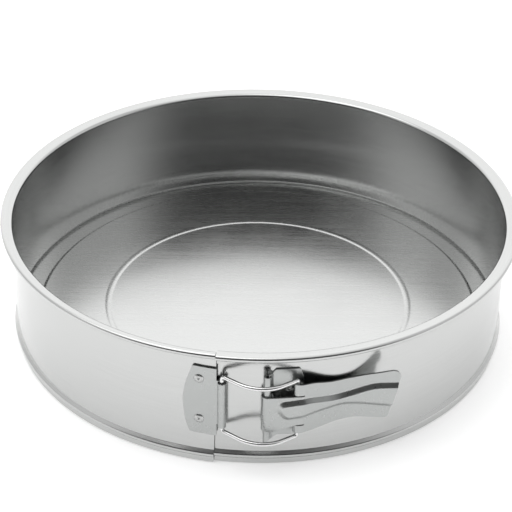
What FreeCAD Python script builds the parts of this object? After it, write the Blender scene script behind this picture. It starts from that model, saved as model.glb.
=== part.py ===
"""Springform pan, 260 mm across and 67 mm high, closed by a wire bail and an over-centre lever.

Frame: millimetres, +Z up, origin on the pan's axis at the level it stands on, clasp towards -Y.
The spring band is one strip on the real pan. Here it is three arcs that meet end to end at two
vertical flexures, so that it can open as the real strip does when it springs apart.
"""

import FreeCAD
import Part
import math
import os

os.makedirs("parts", exist_ok=True)

# Driving dimensions of the pan
INNER_RADIUS = 130.0
HEIGHT = 67.0
BAND_THICKNESS = 0.6
FLARE_RADIUS = 2.0         # bend from the wall into the lip at the top
FLARE_TURN = 82.0          # degrees
LIP_LENGTH = 3.9           # straight stretch of the lip
RIM_RADIUS = 1.45          # outer radius of the bead that the lip ends in
RIM_CURL = 278.0           # degrees that the bead turns through
SKIRT_RISE = 2.6           # height of the flared foot below the groove
SKIRT_LEAN = 6.0           # degrees from vertical
SKIRT_TOP_OFFSET = 0.35    # how far the top of the foot stands outside the wall
GROOVE_FLANK = 45.0        # degrees
GROOVE_LOWER_FLANK = 1.2
GROOVE_UPPER_FLANK = 1.6
BEND_RADIUS = 1.0          # inside bends of the groove

# Base plate
BASE_THICKNESS = 0.8
BASE_RADIUS = 131.25
BASE_LEVEL = 4.8           # underside of the plate's edge
BASE_EDGE_WIDTH = 11.0
BASE_STEP = 1.6            # rise of the middle above the edge
BASE_STEP_ANGLE = 45.0
BASE_BEAD_RADIUS = 82.0    # centre circle of the stiffening bead
BASE_BEAD_ANGLE = 30.0

# Band ends and flexures, as azimuths in degrees from +X, counter-clockwise seen from above
FLEXURE_RIGHT = 30.0
FLEXURE_LEFT = 150.0
FLEXURE_GAP = 0.1
OUTER_END = 261.5          # free end of the outer lap, on the left arc
INNER_END = 254.5          # free end of the inner lap, on the right arc
LAP_GROWTH = 1.0           # how much larger the left arc's radius is, so that it laps outside
LAP_TRIM_HEIGHT = 59.8     # the inner lap has no lip above this height
LAP_TRIM_MARGIN = 0.6      # degrees past the outer lap's end where the inner lap's lip begins

# Clasp: plan positions of the hinge and of the bail's pivot in the lever (x, y), and the sheet
HINGE = (5.6, -134.0)
EAR = (20.0, -133.4)
PLATE_THICKNESS = 1.0
BRACKET_THICKNESS = 0.8
WIRE_RADIUS = 1.05
FIT = 0.08                 # running clearance round tube and wire
CURL_TURN = 290.0          # degrees that a rolled barrel turns through
PLATE_GAP = 0.05           # between a plate and the band that it is riveted to

# Catch bracket on the outer lap
CATCH_BARREL_AZIMUTH = 262.8
CATCH_PLATE_SPAN = 8.6     # degrees of wall that the plate covers
CATCH_BARREL_Z = (24.1, 50.1)
CATCH_PLATE_Z = (17.7, 57.4)
CATCH_RIVET_Z = (26.5, 50.2)
CATCH_RIVET_AZIMUTH = 257.9

# Hinge bracket on the right arc; its rolled edge is the tube that the lever turns on
HINGE_TUBE_RADIUS = 1.8
HINGE_TUBE_Z = (16.0, 54.9)
HINGE_TAPER_TOP = 23.0     # below this height the roll is cut back to a point
HINGE_PLATE_END = 280.2    # azimuth of the plate's right-hand end
HINGE_PLATE_Z = (18.0, 56.9)
HINGE_WINDOW_Z = (23.6, 44.2)
HINGE_WINDOW_WIDTH = 4.2
HINGE_JOG_ANGLE = 40.0
HINGE_JOG_RADIUS = 1.2
HINGE_RIVET_Z = (29.0, 46.5)
HINGE_RIVET_AZIMUTH = 277.0

# Lever: rolled barrel round the tube, strip, two ears rolled round the bail, handle
LEVER_BARREL_Z = (24.0, 43.8)
EAR_UPPER_Z = (44.6, 51.1)
EAR_LOWER_Z = (22.5, 27.0)
SLIT_WIDTH = 0.5
SLIT_REACH = 3.0           # how far the slits run past the ears' axis
LEVER_KNEE_RADIUS = 8.0
LEVER_KNEE_TURN = 20.5
LEVER_SLOPE_LENGTH = 16.0
LEVER_SWEEP_RADIUS = 40.0
LEVER_SWEEP_TURN = 24.0
LEVER_TIP_LENGTH = 18.0
PANEL_RAISE = 1.6          # height of the pressed panel

# Handle seen from the front, as (x, z), from the lower ear along the lower edge and back
HANDLE_OUTLINE = [
    (EAR[0], EAR_LOWER_Z[0]), (27.0, 22.9), (37.0, 24.3), (47.3, 24.8), (57.7, 24.0), (63.6, 23.8),
    (70.2, 52.7), (57.7, 50.2), (47.3, 48.5), (37.0, 48.0), (27.0, 50.6), (EAR[0], EAR_UPPER_Z[1]),
]
HANDLE_CORNERS = {1: 20, 2: 25, 3: 25, 4: 20, 5: 2.5, 6: 3.5, 7: 30, 8: 30, 9: 30, 10: 20}

# Raised panel seen from the front, as (x, z), counter-clockwise from its left end
PANEL_OUTLINE = [
    (9.4, 36.2), (14.0, 30.4), (28.0, 32.5), (40.0, 33.3), (51.0, 31.9), (72.0, 29.7),
    (72.0, 45.3), (57.0, 44.8), (46.5, 41.5), (38.5, 40.3), (23.5, 43.2), (11.0, 41.6),
]
PANEL_CORNERS = {0: 5, 1: 5, 2: 30, 3: 30, 4: 30, 7: 22, 8: 25, 9: 25, 10: 25, 11: 4}

# Bail
BAIL_EAR_Z = (19.6, 52.7)  # the arms' heights at the ears
BAIL_CATCH_Z = (21.5, 53.8)
BAIL_BOW = 12.6            # how far the arms' corner stands out from the line between the pivots
BAIL_BOW_PLACE = 0.52      # where that corner is between the catch and the ears
BAIL_BOW_RADIUS = 18.0
BAIL_BEND = 1.9           # at the catch
BAIL_EAR_BEND = 1.4       # at the lever's ears
BAIL_END_GAP = 0.2

# Rivets
RIVET_SHANK = 1.6
RIVET_HEAD = 2.5
RIVET_HEAD_HEIGHT = 0.6
RIVET_BEVEL = 0.5
RIVET_DIMPLE = 1.15
RIVET_DIMPLE_DEPTH = 0.7
RIVET_PLAY = 0.03          # between a rivet and what it holds

# Centre-line radii of the rolled barrels
CATCH_CURL = WIRE_RADIUS + FIT + PLATE_THICKNESS / 2
HINGE_CURL = HINGE_TUBE_RADIUS - BRACKET_THICKNESS / 2
LEVER_CURL = HINGE_TUBE_RADIUS + FIT + PLATE_THICKNESS / 2
EAR_CURL = CATCH_CURL

TOP = FreeCAD.Vector(0, 0, 1)
ORIGIN = FreeCAD.Vector(0, 0, 0)


def direction(degrees):
    """Unit vector at this azimuth."""
    return FreeCAD.Vector(math.cos(math.radians(degrees)), math.sin(math.radians(degrees)), 0)


def sheet_face(start, heading, moves, left, right):
    """Section of a bent sheet in the XY plane.

    The path starts at start and goes by moves: ("line", length) or ("arc", radius, turn), where a
    positive turn is to the left. left and right are how far the sheet stands each side of the path.
    """
    sides = {left: [], -right: []}
    ends = {}
    for offset, edges in sides.items():
        here = FreeCAD.Vector(start[0], start[1], 0)
        angle = heading
        for move in moves:
            normal = direction(angle + 90)
            if move[0] == "line":
                there = here + direction(angle) * move[1]
                edges.append(Part.makeLine(here + normal * offset, there + normal * offset))
            else:
                radius, turn = move[1], move[2]
                side = 1 if turn > 0 else -1
                centre = here + normal * (side * radius)
                first = here + normal * offset
                angle += turn
                there = centre - direction(angle + 90) * (side * radius)
                last = there + direction(angle + 90) * offset
                middle = centre - direction(angle - turn / 2 + 90) * (side * radius - offset)
                edges.append(Part.Arc(first, middle, last).toShape())
            here = there
        ends[offset] = (FreeCAD.Vector(start[0], start[1], 0) + direction(heading + 90) * offset,
                        here + direction(angle + 90) * offset)
    caps = [Part.makeLine(ends[left][0], ends[-right][0]), Part.makeLine(ends[left][1], ends[-right][1])]
    edges = Part.sortEdges(sides[left] + sides[-right] + caps)[0]
    return Part.Face(Part.Wire(edges))


def walk(start, heading, moves):
    """Where the path of sheet_face ends, as (x, y, heading)."""
    here = FreeCAD.Vector(start[0], start[1], 0)
    angle = heading
    for move in moves:
        if move[0] == "line":
            here = here + direction(angle) * move[1]
        else:
            side = 1 if move[2] > 0 else -1
            centre = here + direction(angle + 90) * (side * move[1])
            angle += move[2]
            here = centre - direction(angle + 90) * (side * move[1])
    return here.x, here.y, angle


def raise_face(face, z_range):
    """Prism over a face in the XY plane between two heights."""
    moved = face.translated(TOP * z_range[0])
    return moved.extrude(TOP * (z_range[1] - z_range[0]))


def side_prism(points, depth=(-160.0, -100.0), corners=None):
    """Prism along Y over an outline of (x, z) points. corners maps a point's number to its radius."""
    corners = corners or {}
    count = len(points)
    vectors = [FreeCAD.Vector(x, depth[0], z) for x, z in points]
    edges = []
    cuts = []
    for i, here in enumerate(vectors):
        radius = corners.get(i, 0)
        back = (vectors[i - 1] - here).normalize()
        ahead = (vectors[(i + 1) % count] - here).normalize()
        if not radius:
            cuts.append((here, here))
            continue
        half = back.getAngle(ahead) / 2
        reach = radius / math.tan(half)
        first, last = here + back * reach, here + ahead * reach
        bisector = (back + ahead).normalize()
        middle = here + bisector * (radius / math.sin(half) - radius)
        edges.append(Part.Arc(first, middle, last).toShape())
        cuts.append((first, last))
    for i in range(count):
        first, last = cuts[i][1], cuts[(i + 1) % count][0]
        if (last - first).Length > 1e-6:
            edges.append(Part.makeLine(first, last))
    wire = Part.Wire(Part.sortEdges(edges)[0])
    return Part.Face(wire).extrude(FreeCAD.Vector(0, depth[1] - depth[0], 0))


def box(x_range, y_range, z_range):
    size = [b - a for a, b in (x_range, y_range, z_range)]
    return Part.makeBox(*size, FreeCAD.Vector(x_range[0], y_range[0], z_range[0]))


def post(x, y, radius, z_range):
    return Part.makeCylinder(radius, z_range[1] - z_range[0], FreeCAD.Vector(x, y, z_range[0]))


def revolved(face_xy, centre, first, last):
    """Turns a section drawn as (radius, height) in XY about the vertical through centre."""
    section = face_xy.rotated(ORIGIN, FreeCAD.Vector(1, 0, 0), 90)
    section.rotate(ORIGIN, TOP, first)
    section.translate(centre)
    return section.revolve(centre, TOP, last - first)


# ---------------------------------------------------------------- spring band


def band_moves():
    """Path of the band's inner surface, from the foot up to the end of the bead."""
    lean = 90 + SKIRT_LEAN
    skirt = SKIRT_RISE / math.cos(math.radians(SKIRT_LEAN))
    moves = [
        ("line", skirt),
        ("arc", BEND_RADIUS, -(lean - GROOVE_FLANK)),
        ("line", GROOVE_LOWER_FLANK),
        ("arc", BEND_RADIUS, 2 * GROOVE_FLANK),
        ("line", GROOVE_UPPER_FLANK),
        ("arc", BEND_RADIUS, -GROOVE_FLANK),
    ]
    foot = (SKIRT_TOP_OFFSET + SKIRT_RISE * math.tan(math.radians(SKIRT_LEAN)), 0.0)
    x, z, _ = walk(foot, lean, moves)
    flare = math.radians(FLARE_TURN)
    lip_rise = (FLARE_RADIUS - RIM_RADIUS) * math.sin(flare) + LIP_LENGTH * math.cos(flare)
    moves += [
        ("line", HEIGHT - RIM_RADIUS - lip_rise - z),
        ("arc", FLARE_RADIUS, -FLARE_TURN),
        ("line", LIP_LENGTH),
        ("arc", RIM_RADIUS, -RIM_CURL),
    ]
    return foot, lean, moves, x


def band_section(radius):
    """Section of the band as (radius, height): flared foot, groove, wall and beaded lip."""
    foot, lean, moves, drift = band_moves()
    run_out = 0.5
    start = FreeCAD.Vector(radius + foot[0] - drift, foot[1], 0) - direction(lean) * run_out
    moves = [("line", run_out)] + moves
    above_ground = Part.makePlane(40, 2 * HEIGHT, FreeCAD.Vector(radius - 20, 0, 0))
    return sheet_face((start.x, start.y), lean, moves, 0.0, BAND_THICKNESS).common(above_ground).Faces[0]


def lap_centre():
    """Centre of the left arc, which touches the back arc's circle at the left flexure."""
    return direction(FLEXURE_LEFT) * -LAP_GROWTH


HALF_GAP = math.degrees(FLEXURE_GAP / 2 / INNER_RADIUS)


def band_back():
    return revolved(band_section(INNER_RADIUS), ORIGIN, FLEXURE_RIGHT + HALF_GAP, FLEXURE_LEFT - HALF_GAP)


def band_left():
    return revolved(band_section(INNER_RADIUS + LAP_GROWTH), lap_centre(), FLEXURE_LEFT + HALF_GAP, OUTER_END)


def band_right():
    whole = revolved(band_section(INNER_RADIUS), ORIGIN, INNER_END - 360, FLEXURE_RIGHT - HALF_GAP)
    lap_angle = OUTER_END + LAP_TRIM_MARGIN - INNER_END
    trim = Part.makeCylinder(150, 20, FreeCAD.Vector(0, 0, LAP_TRIM_HEIGHT), TOP, lap_angle + 1)
    trim.rotate(ORIGIN, TOP, INNER_END - 1)
    return whole.cut(trim)


# ---------------------------------------------------------------- base plate


def base_plate():
    """Pressed disc: flat edge in the band's groove, raised middle, one round stiffening bead."""
    bend = 1.5
    bead = [
        ("arc", 4.0, BASE_BEAD_ANGLE / 2),
        ("arc", 4.0, -BASE_BEAD_ANGLE),
        ("arc", 4.0, BASE_BEAD_ANGLE / 2),
    ]
    bead_half = 8.0 * math.sin(math.radians(BASE_BEAD_ANGLE / 2))
    drop = BASE_STEP - 2 * bend * (1 - math.cos(math.radians(BASE_STEP_ANGLE)))
    step = [
        ("arc", bend, -BASE_STEP_ANGLE),
        ("line", drop / math.sin(math.radians(BASE_STEP_ANGLE))),
        ("arc", bend, BASE_STEP_ANGLE),
    ]
    step_width = walk((0, 0), 0, step)[0]
    edge_start = BASE_RADIUS - BASE_EDGE_WIDTH
    middle = BASE_BEAD_RADIUS - bead_half
    outer = edge_start - step_width - BASE_BEAD_RADIUS - bead_half
    moves = [("line", middle)] + bead + [("line", outer)] + step + [("line", BASE_EDGE_WIDTH)]
    section = sheet_face((0, BASE_LEVEL + BASE_STEP), 0, moves, BASE_THICKNESS, 0.0)
    section.rotate(ORIGIN, FreeCAD.Vector(1, 0, 0), 90)
    return section.revolve(ORIGIN, TOP, 360)


# ---------------------------------------------------------------- clasp


def catch_pivot():
    """Axis of the barrel that holds the bail's closed side, as (x, y)."""
    centre = lap_centre()
    radius = INNER_RADIUS + LAP_GROWTH + BAND_THICKNESS + PLATE_GAP + PLATE_THICKNESS / 2 + CATCH_CURL
    point = centre + direction(CATCH_BARREL_AZIMUTH) * radius
    return point.x, point.y


def catch_bracket():
    """Riveted plate whose right-hand edge is rolled outwards into a barrel."""
    centre = lap_centre()
    radius = INNER_RADIUS + LAP_GROWTH + BAND_THICKNESS + PLATE_GAP + PLATE_THICKNESS / 2
    first = CATCH_BARREL_AZIMUTH - CATCH_PLATE_SPAN
    start = centre + direction(first) * radius
    half = PLATE_THICKNESS / 2
    moves = [("arc", radius, CATCH_PLATE_SPAN), ("arc", CATCH_CURL, -CURL_TURN)]
    sheet = raise_face(sheet_face((start.x, start.y), first + 90, moves, half, half), (10, 60))
    low, high = CATCH_PLATE_Z
    right = catch_pivot()[0] - 2.5
    outline = [
        (-31.4, low), (right, low - 0.6), (right, CATCH_BARREL_Z[0]), (-10, CATCH_BARREL_Z[0]),
        (-10, CATCH_BARREL_Z[1]), (right, CATCH_BARREL_Z[1]), (right, high - 0.6), (-29.9, high),
        (-33.4, high - 10.8), (-34.8, (low + high) / 2), (-33.6, low + 6.4),
    ]
    plate = sheet.common(side_prism(outline, corners={0: 2, 7: 1.2, 8: 25, 9: 18, 10: 22}))
    for z in CATCH_RIVET_Z:
        plate = plate.cut(radial_post(centre, CATCH_RIVET_AZIMUTH, RIVET_SHANK, 120, 140, z))
    return plate


def radial_post(centre, azimuth, radius, inner, outer, z):
    """Cylinder lying along a radius of the pan."""
    outward = direction(azimuth)
    base = centre + outward * inner + TOP * z
    return Part.makeCylinder(radius, outer - inner, base, outward)


def rivet(centre, azimuth, inner, outer, z, inner_head):
    """Tubular rivet: dimpled head outside, flush or low head inside."""
    body = radial_post(centre, azimuth, RIVET_SHANK - RIVET_PLAY, inner, outer, z)
    outward = direction(azimuth)
    head_base = centre + outward * outer + TOP * z
    head = Part.makeCone(RIVET_HEAD, RIVET_HEAD - RIVET_BEVEL, RIVET_HEAD_HEIGHT, head_base, outward)
    body = body.fuse(head)
    if inner_head:
        tail_base = centre + outward * inner + TOP * z
        tail = Part.makeCone(RIVET_HEAD, RIVET_HEAD - RIVET_BEVEL, RIVET_HEAD_HEIGHT, tail_base, outward * -1)
        body = body.fuse(tail)
    dimple = radial_post(centre, azimuth, RIVET_DIMPLE, outer - RIVET_DIMPLE_DEPTH, outer + 2, z)
    return body.cut(dimple).removeSplitter()


def catch_rivets():
    inner = INNER_RADIUS + LAP_GROWTH + 0.05
    outer = INNER_RADIUS + LAP_GROWTH + BAND_THICKNESS + PLATE_GAP + PLATE_THICKNESS + RIVET_PLAY
    return Part.makeCompound([
        rivet(lap_centre(), CATCH_RIVET_AZIMUTH, inner, outer, z, False) for z in CATCH_RIVET_Z
    ])


def hinge_rivets():
    inner = INNER_RADIUS - RIVET_PLAY
    outer = INNER_RADIUS + BAND_THICKNESS + PLATE_GAP + BRACKET_THICKNESS + RIVET_PLAY
    return Part.makeCompound([
        rivet(ORIGIN, HINGE_RIVET_AZIMUTH, inner, outer, z, True) for z in HINGE_RIVET_Z
    ])


def hinge_path():
    """Start, heading and moves of the hinge bracket's mid surface, from its right-hand end."""
    radius = INNER_RADIUS + BAND_THICKNESS + PLATE_GAP + BRACKET_THICKNESS / 2
    curl_foot = -HINGE[1] - HINGE_CURL
    jog = math.radians(HINGE_JOG_ANGLE)
    low, high = 0.0, 20.0
    for _ in range(60):
        # the straight stretch of the jog has the length that brings the sheet to the tube's back
        length = (low + high) / 2
        width = 2 * HINGE_JOG_RADIUS * math.sin(jog) + length * math.cos(jog)
        lean = math.degrees(math.asin((HINGE[0] + width) / radius))
        start = direction(HINGE_PLATE_END) * radius
        moves = [
            ("arc", radius, -(HINGE_PLATE_END - 270 - lean)),
            ("arc", HINGE_JOG_RADIUS, HINGE_JOG_ANGLE - lean),
            ("line", length),
            ("arc", HINGE_JOG_RADIUS, -HINGE_JOG_ANGLE),
        ]
        x, y, _ = walk((start.x, start.y), HINGE_PLATE_END - 90, moves)
        if -y < curl_foot:
            low = length
        else:
            high = length
    moves += [("line", x - HINGE[0]), ("arc", HINGE_CURL, CURL_TURN)]
    return (start.x, start.y), HINGE_PLATE_END - 90, moves


def hinge_bracket():
    """Riveted plate whose left-hand edge is rolled outwards into the hinge tube."""
    half = BRACKET_THICKNESS / 2
    start, heading, moves = hinge_path()
    sheet = raise_face(sheet_face(start, heading, moves, half, half), (5, 65))
    tube_low, tube_high = HINGE_TUBE_Z
    low, high = HINGE_PLATE_Z
    neck = HINGE[0] + HINGE_TUBE_RADIUS
    outline = [
        (0, tube_low), (neck, tube_low), (neck + 3, low), (21.2, low), (22.9, low + 5),
        (22.9, high - 6), (21.0, high), (neck + 2.2, high), (neck + 0.5, tube_high), (0, tube_high),
    ]
    plate = sheet.common(side_prism(outline, corners={3: 1.5, 4: 3, 5: 3, 6: 1.5}))
    window_x = (HINGE[0] + 0.1, neck + HINGE_WINDOW_WIDTH)
    plate = plate.cut(box(window_x, (HINGE[1] + HINGE_CURL - half, -128), HINGE_WINDOW_Z))
    taper = side_prism(
        [(HINGE[0] - 0.3, tube_low - 1), (neck + 1, tube_low - 1), (neck + 1, HINGE_TAPER_TOP)],
        depth=(HINGE[1] - 4, HINGE[1] + 0.3),
    )
    plate = plate.cut(taper)
    for z in HINGE_RIVET_Z:
        plate = plate.cut(radial_post(ORIGIN, HINGE_RIVET_AZIMUTH, RIVET_SHANK, 120, 140, z))
    return plate


def lever_path():
    """Start, heading and moves of the lever's mid surface, from its barrel to its tip."""
    across = math.hypot(EAR[0] - HINGE[0], EAR[1] - HINGE[1])
    slope = math.degrees(math.atan2(EAR[1] - HINGE[1], EAR[0] - HINGE[0]))
    heading = slope + math.degrees(math.asin((LEVER_CURL - EAR_CURL) / across))
    start = FreeCAD.Vector(HINGE[0], HINGE[1], 0) + direction(heading - 90) * LEVER_CURL
    strip = math.sqrt(across ** 2 - (LEVER_CURL - EAR_CURL) ** 2)
    moves = [
        ("line", strip + 0.6),
        ("arc", LEVER_KNEE_RADIUS, LEVER_KNEE_TURN),
        ("line", LEVER_SLOPE_LENGTH),
        ("arc", LEVER_SWEEP_RADIUS, -LEVER_SWEEP_TURN),
        ("line", LEVER_TIP_LENGTH),
    ]
    return (start.x, start.y), heading, moves


def lever():
    """Pressed lever: rolled barrel, strip between two slits, two rolled ears, waisted handle."""
    half = PLATE_THICKNESS / 2
    start, heading, moves = lever_path()
    sheet = raise_face(sheet_face(start, heading, moves, half, half), (5, 60))
    handle = sheet.common(side_prism(HANDLE_OUTLINE, corners=HANDLE_CORNERS))
    low, high = LEVER_BARREL_Z
    strip_low, strip_high = EAR_LOWER_Z[1] + SLIT_WIDTH, EAR_UPPER_Z[0] - SLIT_WIDTH
    strip_end = EAR[0] + SLIT_REACH
    strip_outline = [
        (HINGE[0], low), (HINGE[0] + 3.5, low), (EAR[0], strip_low), (strip_end, strip_low),
        (strip_end, strip_high), (EAR[0], strip_high), (HINGE[0] + 3.5, high), (HINGE[0], high),
    ]
    strip = sheet.common(side_prism(strip_outline))
    barrel_curl = sheet_face(start, heading + 180, [("arc", LEVER_CURL, -CURL_TURN)], half, half)
    barrel = raise_face(barrel_curl, (low, high))
    ear = FreeCAD.Vector(EAR[0], EAR[1], 0) + direction(heading - 90) * EAR_CURL
    ear_curl = sheet_face((ear.x, ear.y), heading + 180, [("arc", EAR_CURL, -CURL_TURN)], half, half)
    for slit_low in (EAR_LOWER_Z[1], strip_high):
        slit = box((EAR[0] - 4, strip_end), (-145, -125), (slit_low, slit_low + SLIT_WIDTH))
        handle = handle.cut(slit)
    body = handle.fuse([strip, barrel, raise_face(ear_curl, EAR_UPPER_Z), raise_face(ear_curl, EAR_LOWER_Z)])
    return raise_panel(body, start, heading, moves).removeSplitter()


def raise_panel(body, start, heading, moves):
    """Presses the middle of the lever outwards inside the panel's outline."""
    half = PLATE_THICKNESS / 2
    outer = side_prism(PANEL_OUTLINE, corners=PANEL_CORNERS)
    middle = sum(z for _, z in PANEL_OUTLINE) / len(PANEL_OUTLINE)
    inner_outline = []
    for x, z in PANEL_OUTLINE:
        if x == PANEL_OUTLINE[0][0]:
            inner_outline.append((x + PLATE_THICKNESS, z))
        else:
            inner_outline.append((x, z + math.copysign(PLATE_THICKNESS, middle - z)))
    inner_corners = {number: radius - PLATE_THICKNESS for number, radius in PANEL_CORNERS.items()}
    inner = side_prism(inner_outline, corners=inner_corners)
    handle_end = side_prism([(0, 15), (62.8, 15), (71.2, 60), (0, 60)])
    block = raise_face(sheet_face(start, heading, moves, half, half + PANEL_RAISE), (5, 60))
    hollow = raise_face(sheet_face(start, heading, moves, half, PANEL_RAISE - half), (5, 60))
    raised = block.common(outer).common(handle_end)
    return body.fuse(raised).cut(hollow.common(inner))


def bail_corner():
    """Where the two straight stretches of an arm would meet, as (x, y)."""
    bx, by = catch_pivot()
    ex, ey = EAR
    length = math.hypot(ex - bx, ey - by)
    x = bx + BAIL_BOW_PLACE * (ex - bx) + BAIL_BOW * (ey - by) / length
    y = by + BAIL_BOW_PLACE * (ey - by) - BAIL_BOW * (ex - bx) / length
    return x, y


def rounded_path(points, radii):
    """Wire through points with tangent arcs at the inner ones."""
    edges = []
    here = points[0]
    for i in range(1, len(points) - 1):
        corner = points[i]
        back = (points[i - 1] - corner).normalize()
        ahead = (points[i + 1] - corner).normalize()
        half = back.getAngle(ahead) / 2
        reach = radii[i - 1] / math.tan(half)
        first, last = corner + back * reach, corner + ahead * reach
        bisector = (back + ahead).normalize()
        middle = corner + bisector * (radii[i - 1] / math.sin(half) - radii[i - 1])
        edges.append(Part.makeLine(here, first))
        edges.append(Part.Arc(first, middle, last).toShape())
        here = last
    edges.append(Part.makeLine(here, points[-1]))
    return Part.Wire(edges)


def bail_wire():
    """One bent wire: down the ears' side, along both bowed arms, ending at the catch barrel."""
    bx, by = catch_pivot()
    cx, cy = bail_corner()
    top_end = CATCH_BARREL_Z[1] + BAIL_END_GAP
    low_end = CATCH_BARREL_Z[0] - BAIL_END_GAP
    arms = []
    for ear_z, catch_z in zip(BAIL_EAR_Z, BAIL_CATCH_Z):
        corner_z = catch_z + BAIL_BOW_PLACE * (ear_z - catch_z)
        arms.append([(bx, by, catch_z), (cx, cy, corner_z), (*EAR, ear_z)])
    lower, upper = arms
    places = [(bx, by, top_end)] + upper + lower[::-1] + [(bx, by, low_end)]
    points = [FreeCAD.Vector(*place) for place in places]
    radii = [BAIL_BEND, BAIL_BOW_RADIUS, BAIL_EAR_BEND, BAIL_EAR_BEND, BAIL_BOW_RADIUS, BAIL_BEND]
    path = rounded_path(points, radii)
    profile = Part.Wire(Part.makeCircle(WIRE_RADIUS, points[0], TOP))
    return path.makePipeShell([profile], True, False)


def bail_pivot_segment():
    bx, by = catch_pivot()
    return post(bx, by, WIRE_RADIUS, CATCH_BARREL_Z)


# ---------------------------------------------------------------- output


def main():
    right = band_right()
    left = band_left()
    for z in HINGE_RIVET_Z:
        right = right.cut(radial_post(ORIGIN, HINGE_RIVET_AZIMUTH, RIVET_SHANK, 120, 140, z))
    for z in CATCH_RIVET_Z:
        left = left.cut(radial_post(lap_centre(), CATCH_RIVET_AZIMUTH, RIVET_SHANK, 120, 140, z))
    nodes = {
        "base_plate": base_plate(),
        "spring_band_back": band_back(),
        "spring_band_left": left,
        "spring_band_right": right,
        "catch_bracket": catch_bracket(),
        "catch_rivets": catch_rivets(),
        "bail_wire": bail_wire(),
        "bail_pivot_segment": bail_pivot_segment(),
        "hinge_bracket": hinge_bracket(),
        "hinge_rivets": hinge_rivets(),
        "clamp_lever": lever(),
    }
    for name, shape in nodes.items():
        print(name, "valid", shape.isValid(), "solids", len(shape.Solids), "volume", round(shape.Volume, 1))
        shape.exportStep(f"parts/{name}.step")


main()
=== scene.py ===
"""Springform pan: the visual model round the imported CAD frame, with its light and camera.

Lengths are written in millimetres and azimuths in degrees, as in the part's own source, and turned
into metres when a mesh is made.
"""

import bpy
import math
import numpy as np
from mathutils import Matrix, Vector
from mathutils.geometry import delaunay_2d_cdt


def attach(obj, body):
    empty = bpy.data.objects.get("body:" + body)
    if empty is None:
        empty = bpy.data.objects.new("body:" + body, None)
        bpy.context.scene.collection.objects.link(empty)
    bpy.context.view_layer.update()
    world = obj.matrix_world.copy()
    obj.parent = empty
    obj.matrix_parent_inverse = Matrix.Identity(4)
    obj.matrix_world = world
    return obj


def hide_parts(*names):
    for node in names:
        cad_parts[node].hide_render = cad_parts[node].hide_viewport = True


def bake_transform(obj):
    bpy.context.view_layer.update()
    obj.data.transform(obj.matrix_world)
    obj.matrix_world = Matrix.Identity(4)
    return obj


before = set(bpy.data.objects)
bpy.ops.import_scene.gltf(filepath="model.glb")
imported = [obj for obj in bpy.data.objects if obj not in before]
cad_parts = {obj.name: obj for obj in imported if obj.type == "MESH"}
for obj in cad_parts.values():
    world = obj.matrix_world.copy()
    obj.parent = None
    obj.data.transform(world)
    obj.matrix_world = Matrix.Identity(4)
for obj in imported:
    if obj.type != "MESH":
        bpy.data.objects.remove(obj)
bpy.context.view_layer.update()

MM = 0.001

# ---------------------------------------------------------------- dimensions shared with the part

INNER_RADIUS, HEIGHT, BAND_THICKNESS = 130.0, 67.0, 0.6
FLARE_RADIUS, FLARE_TURN, LIP_LENGTH, RIM_RADIUS, RIM_CURL = 2.0, 82.0, 3.9, 1.45, 278.0
SKIRT_RISE, SKIRT_LEAN, SKIRT_TOP_OFFSET = 2.6, 6.0, 0.35
GROOVE_FLANK, GROOVE_LOWER_FLANK, GROOVE_UPPER_FLANK, BEND_RADIUS = 45.0, 1.2, 1.6, 1.0
BASE_THICKNESS, BASE_RADIUS, BASE_LEVEL, BASE_EDGE_WIDTH = 0.8, 131.25, 4.8, 11.0
BASE_STEP, BASE_STEP_ANGLE, BASE_BEAD_RADIUS, BASE_BEAD_ANGLE = 1.6, 45.0, 82.0, 30.0
FLEXURE_RIGHT, FLEXURE_LEFT, OUTER_END, INNER_END = 30.0, 150.0, 261.5, 254.5
LAP_GROWTH, LAP_TRIM_HEIGHT, LAP_TRIM_MARGIN = 1.0, 59.8, 0.6
LIP_NARROWING = 2.3        # how much narrower the left arc's lip has become at its free end
END_LEAN, END_LEAN_POWER = 0.55, 12    # degrees the free edge's foot is cut back, and how soon that fades
HINGE, EAR = (5.6, -134.0), (20.0, -133.4)
PLATE_THICKNESS, BRACKET_THICKNESS, WIRE_RADIUS = 1.0, 0.8, 1.05
FIT, CURL_TURN, PLATE_GAP = 0.08, 290.0, 0.05
CATCH_BARREL_AZIMUTH, CATCH_PLATE_SPAN = 262.8, 8.6
CATCH_BARREL_Z, CATCH_PLATE_Z = (24.1, 50.1), (17.7, 57.4)
CATCH_RIVET_Z, CATCH_RIVET_AZIMUTH = (26.5, 50.2), 257.9
HINGE_TUBE_RADIUS, HINGE_TUBE_Z, HINGE_TAPER_TOP = 1.8, (16.0, 54.9), 23.0
HINGE_PLATE_END, HINGE_PLATE_Z = 280.2, (18.0, 56.9)
HINGE_WINDOW_Z, HINGE_WINDOW_WIDTH = (23.6, 44.2), 4.2
HINGE_JOG_ANGLE, HINGE_JOG_RADIUS = 40.0, 1.2
HINGE_RIVET_Z, HINGE_RIVET_AZIMUTH = (29.0, 46.5), 277.0
LEVER_BARREL_Z, EAR_UPPER_Z, EAR_LOWER_Z = (24.0, 43.8), (44.6, 51.1), (22.5, 27.0)
SLIT_WIDTH, SLIT_REACH = 0.5, 3.0
LEVER_KNEE_RADIUS, LEVER_KNEE_TURN, LEVER_SLOPE_LENGTH = 8.0, 20.5, 16.0
LEVER_SWEEP_RADIUS, LEVER_SWEEP_TURN, LEVER_TIP_LENGTH = 40.0, 24.0, 18.0
PANEL_RAISE, PANEL_FLANK = 1.6, 2.8
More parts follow.
